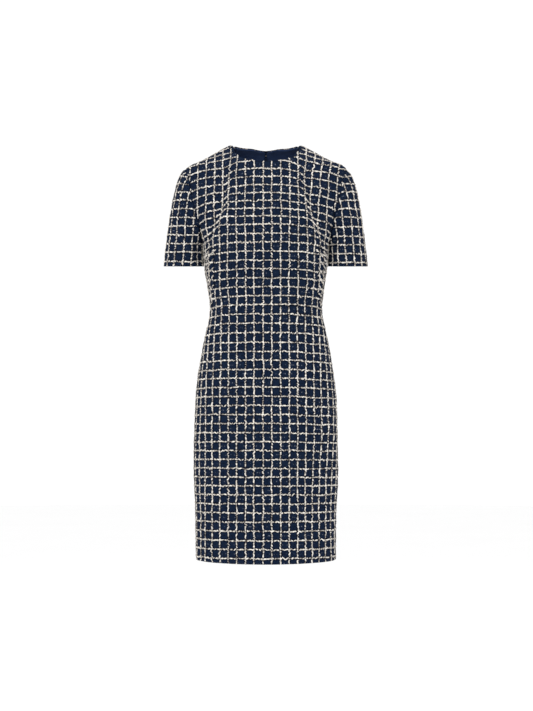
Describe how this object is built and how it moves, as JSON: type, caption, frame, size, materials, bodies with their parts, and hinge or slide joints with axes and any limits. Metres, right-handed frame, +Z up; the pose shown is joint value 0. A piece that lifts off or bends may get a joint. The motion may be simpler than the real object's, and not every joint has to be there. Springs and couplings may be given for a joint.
{
  "type": "sheath dress",
  "caption": "Short-sleeved round-neck sheath dress in checked boucle tweed, standing hollow as worn, with a centre back zip and a swinging pull tab.",
  "frame": {"origin": "midway between the two neck points of the shoulder seams, where the wearer's shoulders carry the dress", "axes": "+Z up along the dress, hem to neck; the front faces -Y; +X is the wearer's left"},
  "size_m": [0.482, 0.2407, 0.978],
  "materials": {
    "tweed": "matte boucle tweed, navy ground with an ivory windowpane check",
    "facing": "smooth navy lining cloth",
    "zip_tape": "narrow woven navy tape",
    "zip_metal": "navy enamel on die-cast metal"
  },
  "bodies": {
    "dress": {"front": "tweed", "back_left": "tweed", "back_right": "tweed", "sleeve_left": "tweed", "sleeve_right": "tweed", "facing_front": "facing", "facing_back_left": "facing", "facing_back_right": "facing", "zip_tape_left": "zip_tape", "zip_tape_right": "zip_tape", "zip_slider": "zip_metal"},
    "pull": {"zip_pull": "zip_metal"}
  },
  "joints": [
    {"name": "pull_swing", "type": "hinge", "parent": "dress", "child": "pull", "pos_m": [0, 0.06556, -0.01705], "axis": [1, 0, 0], "range_deg": [0, 150]}
  ]
}
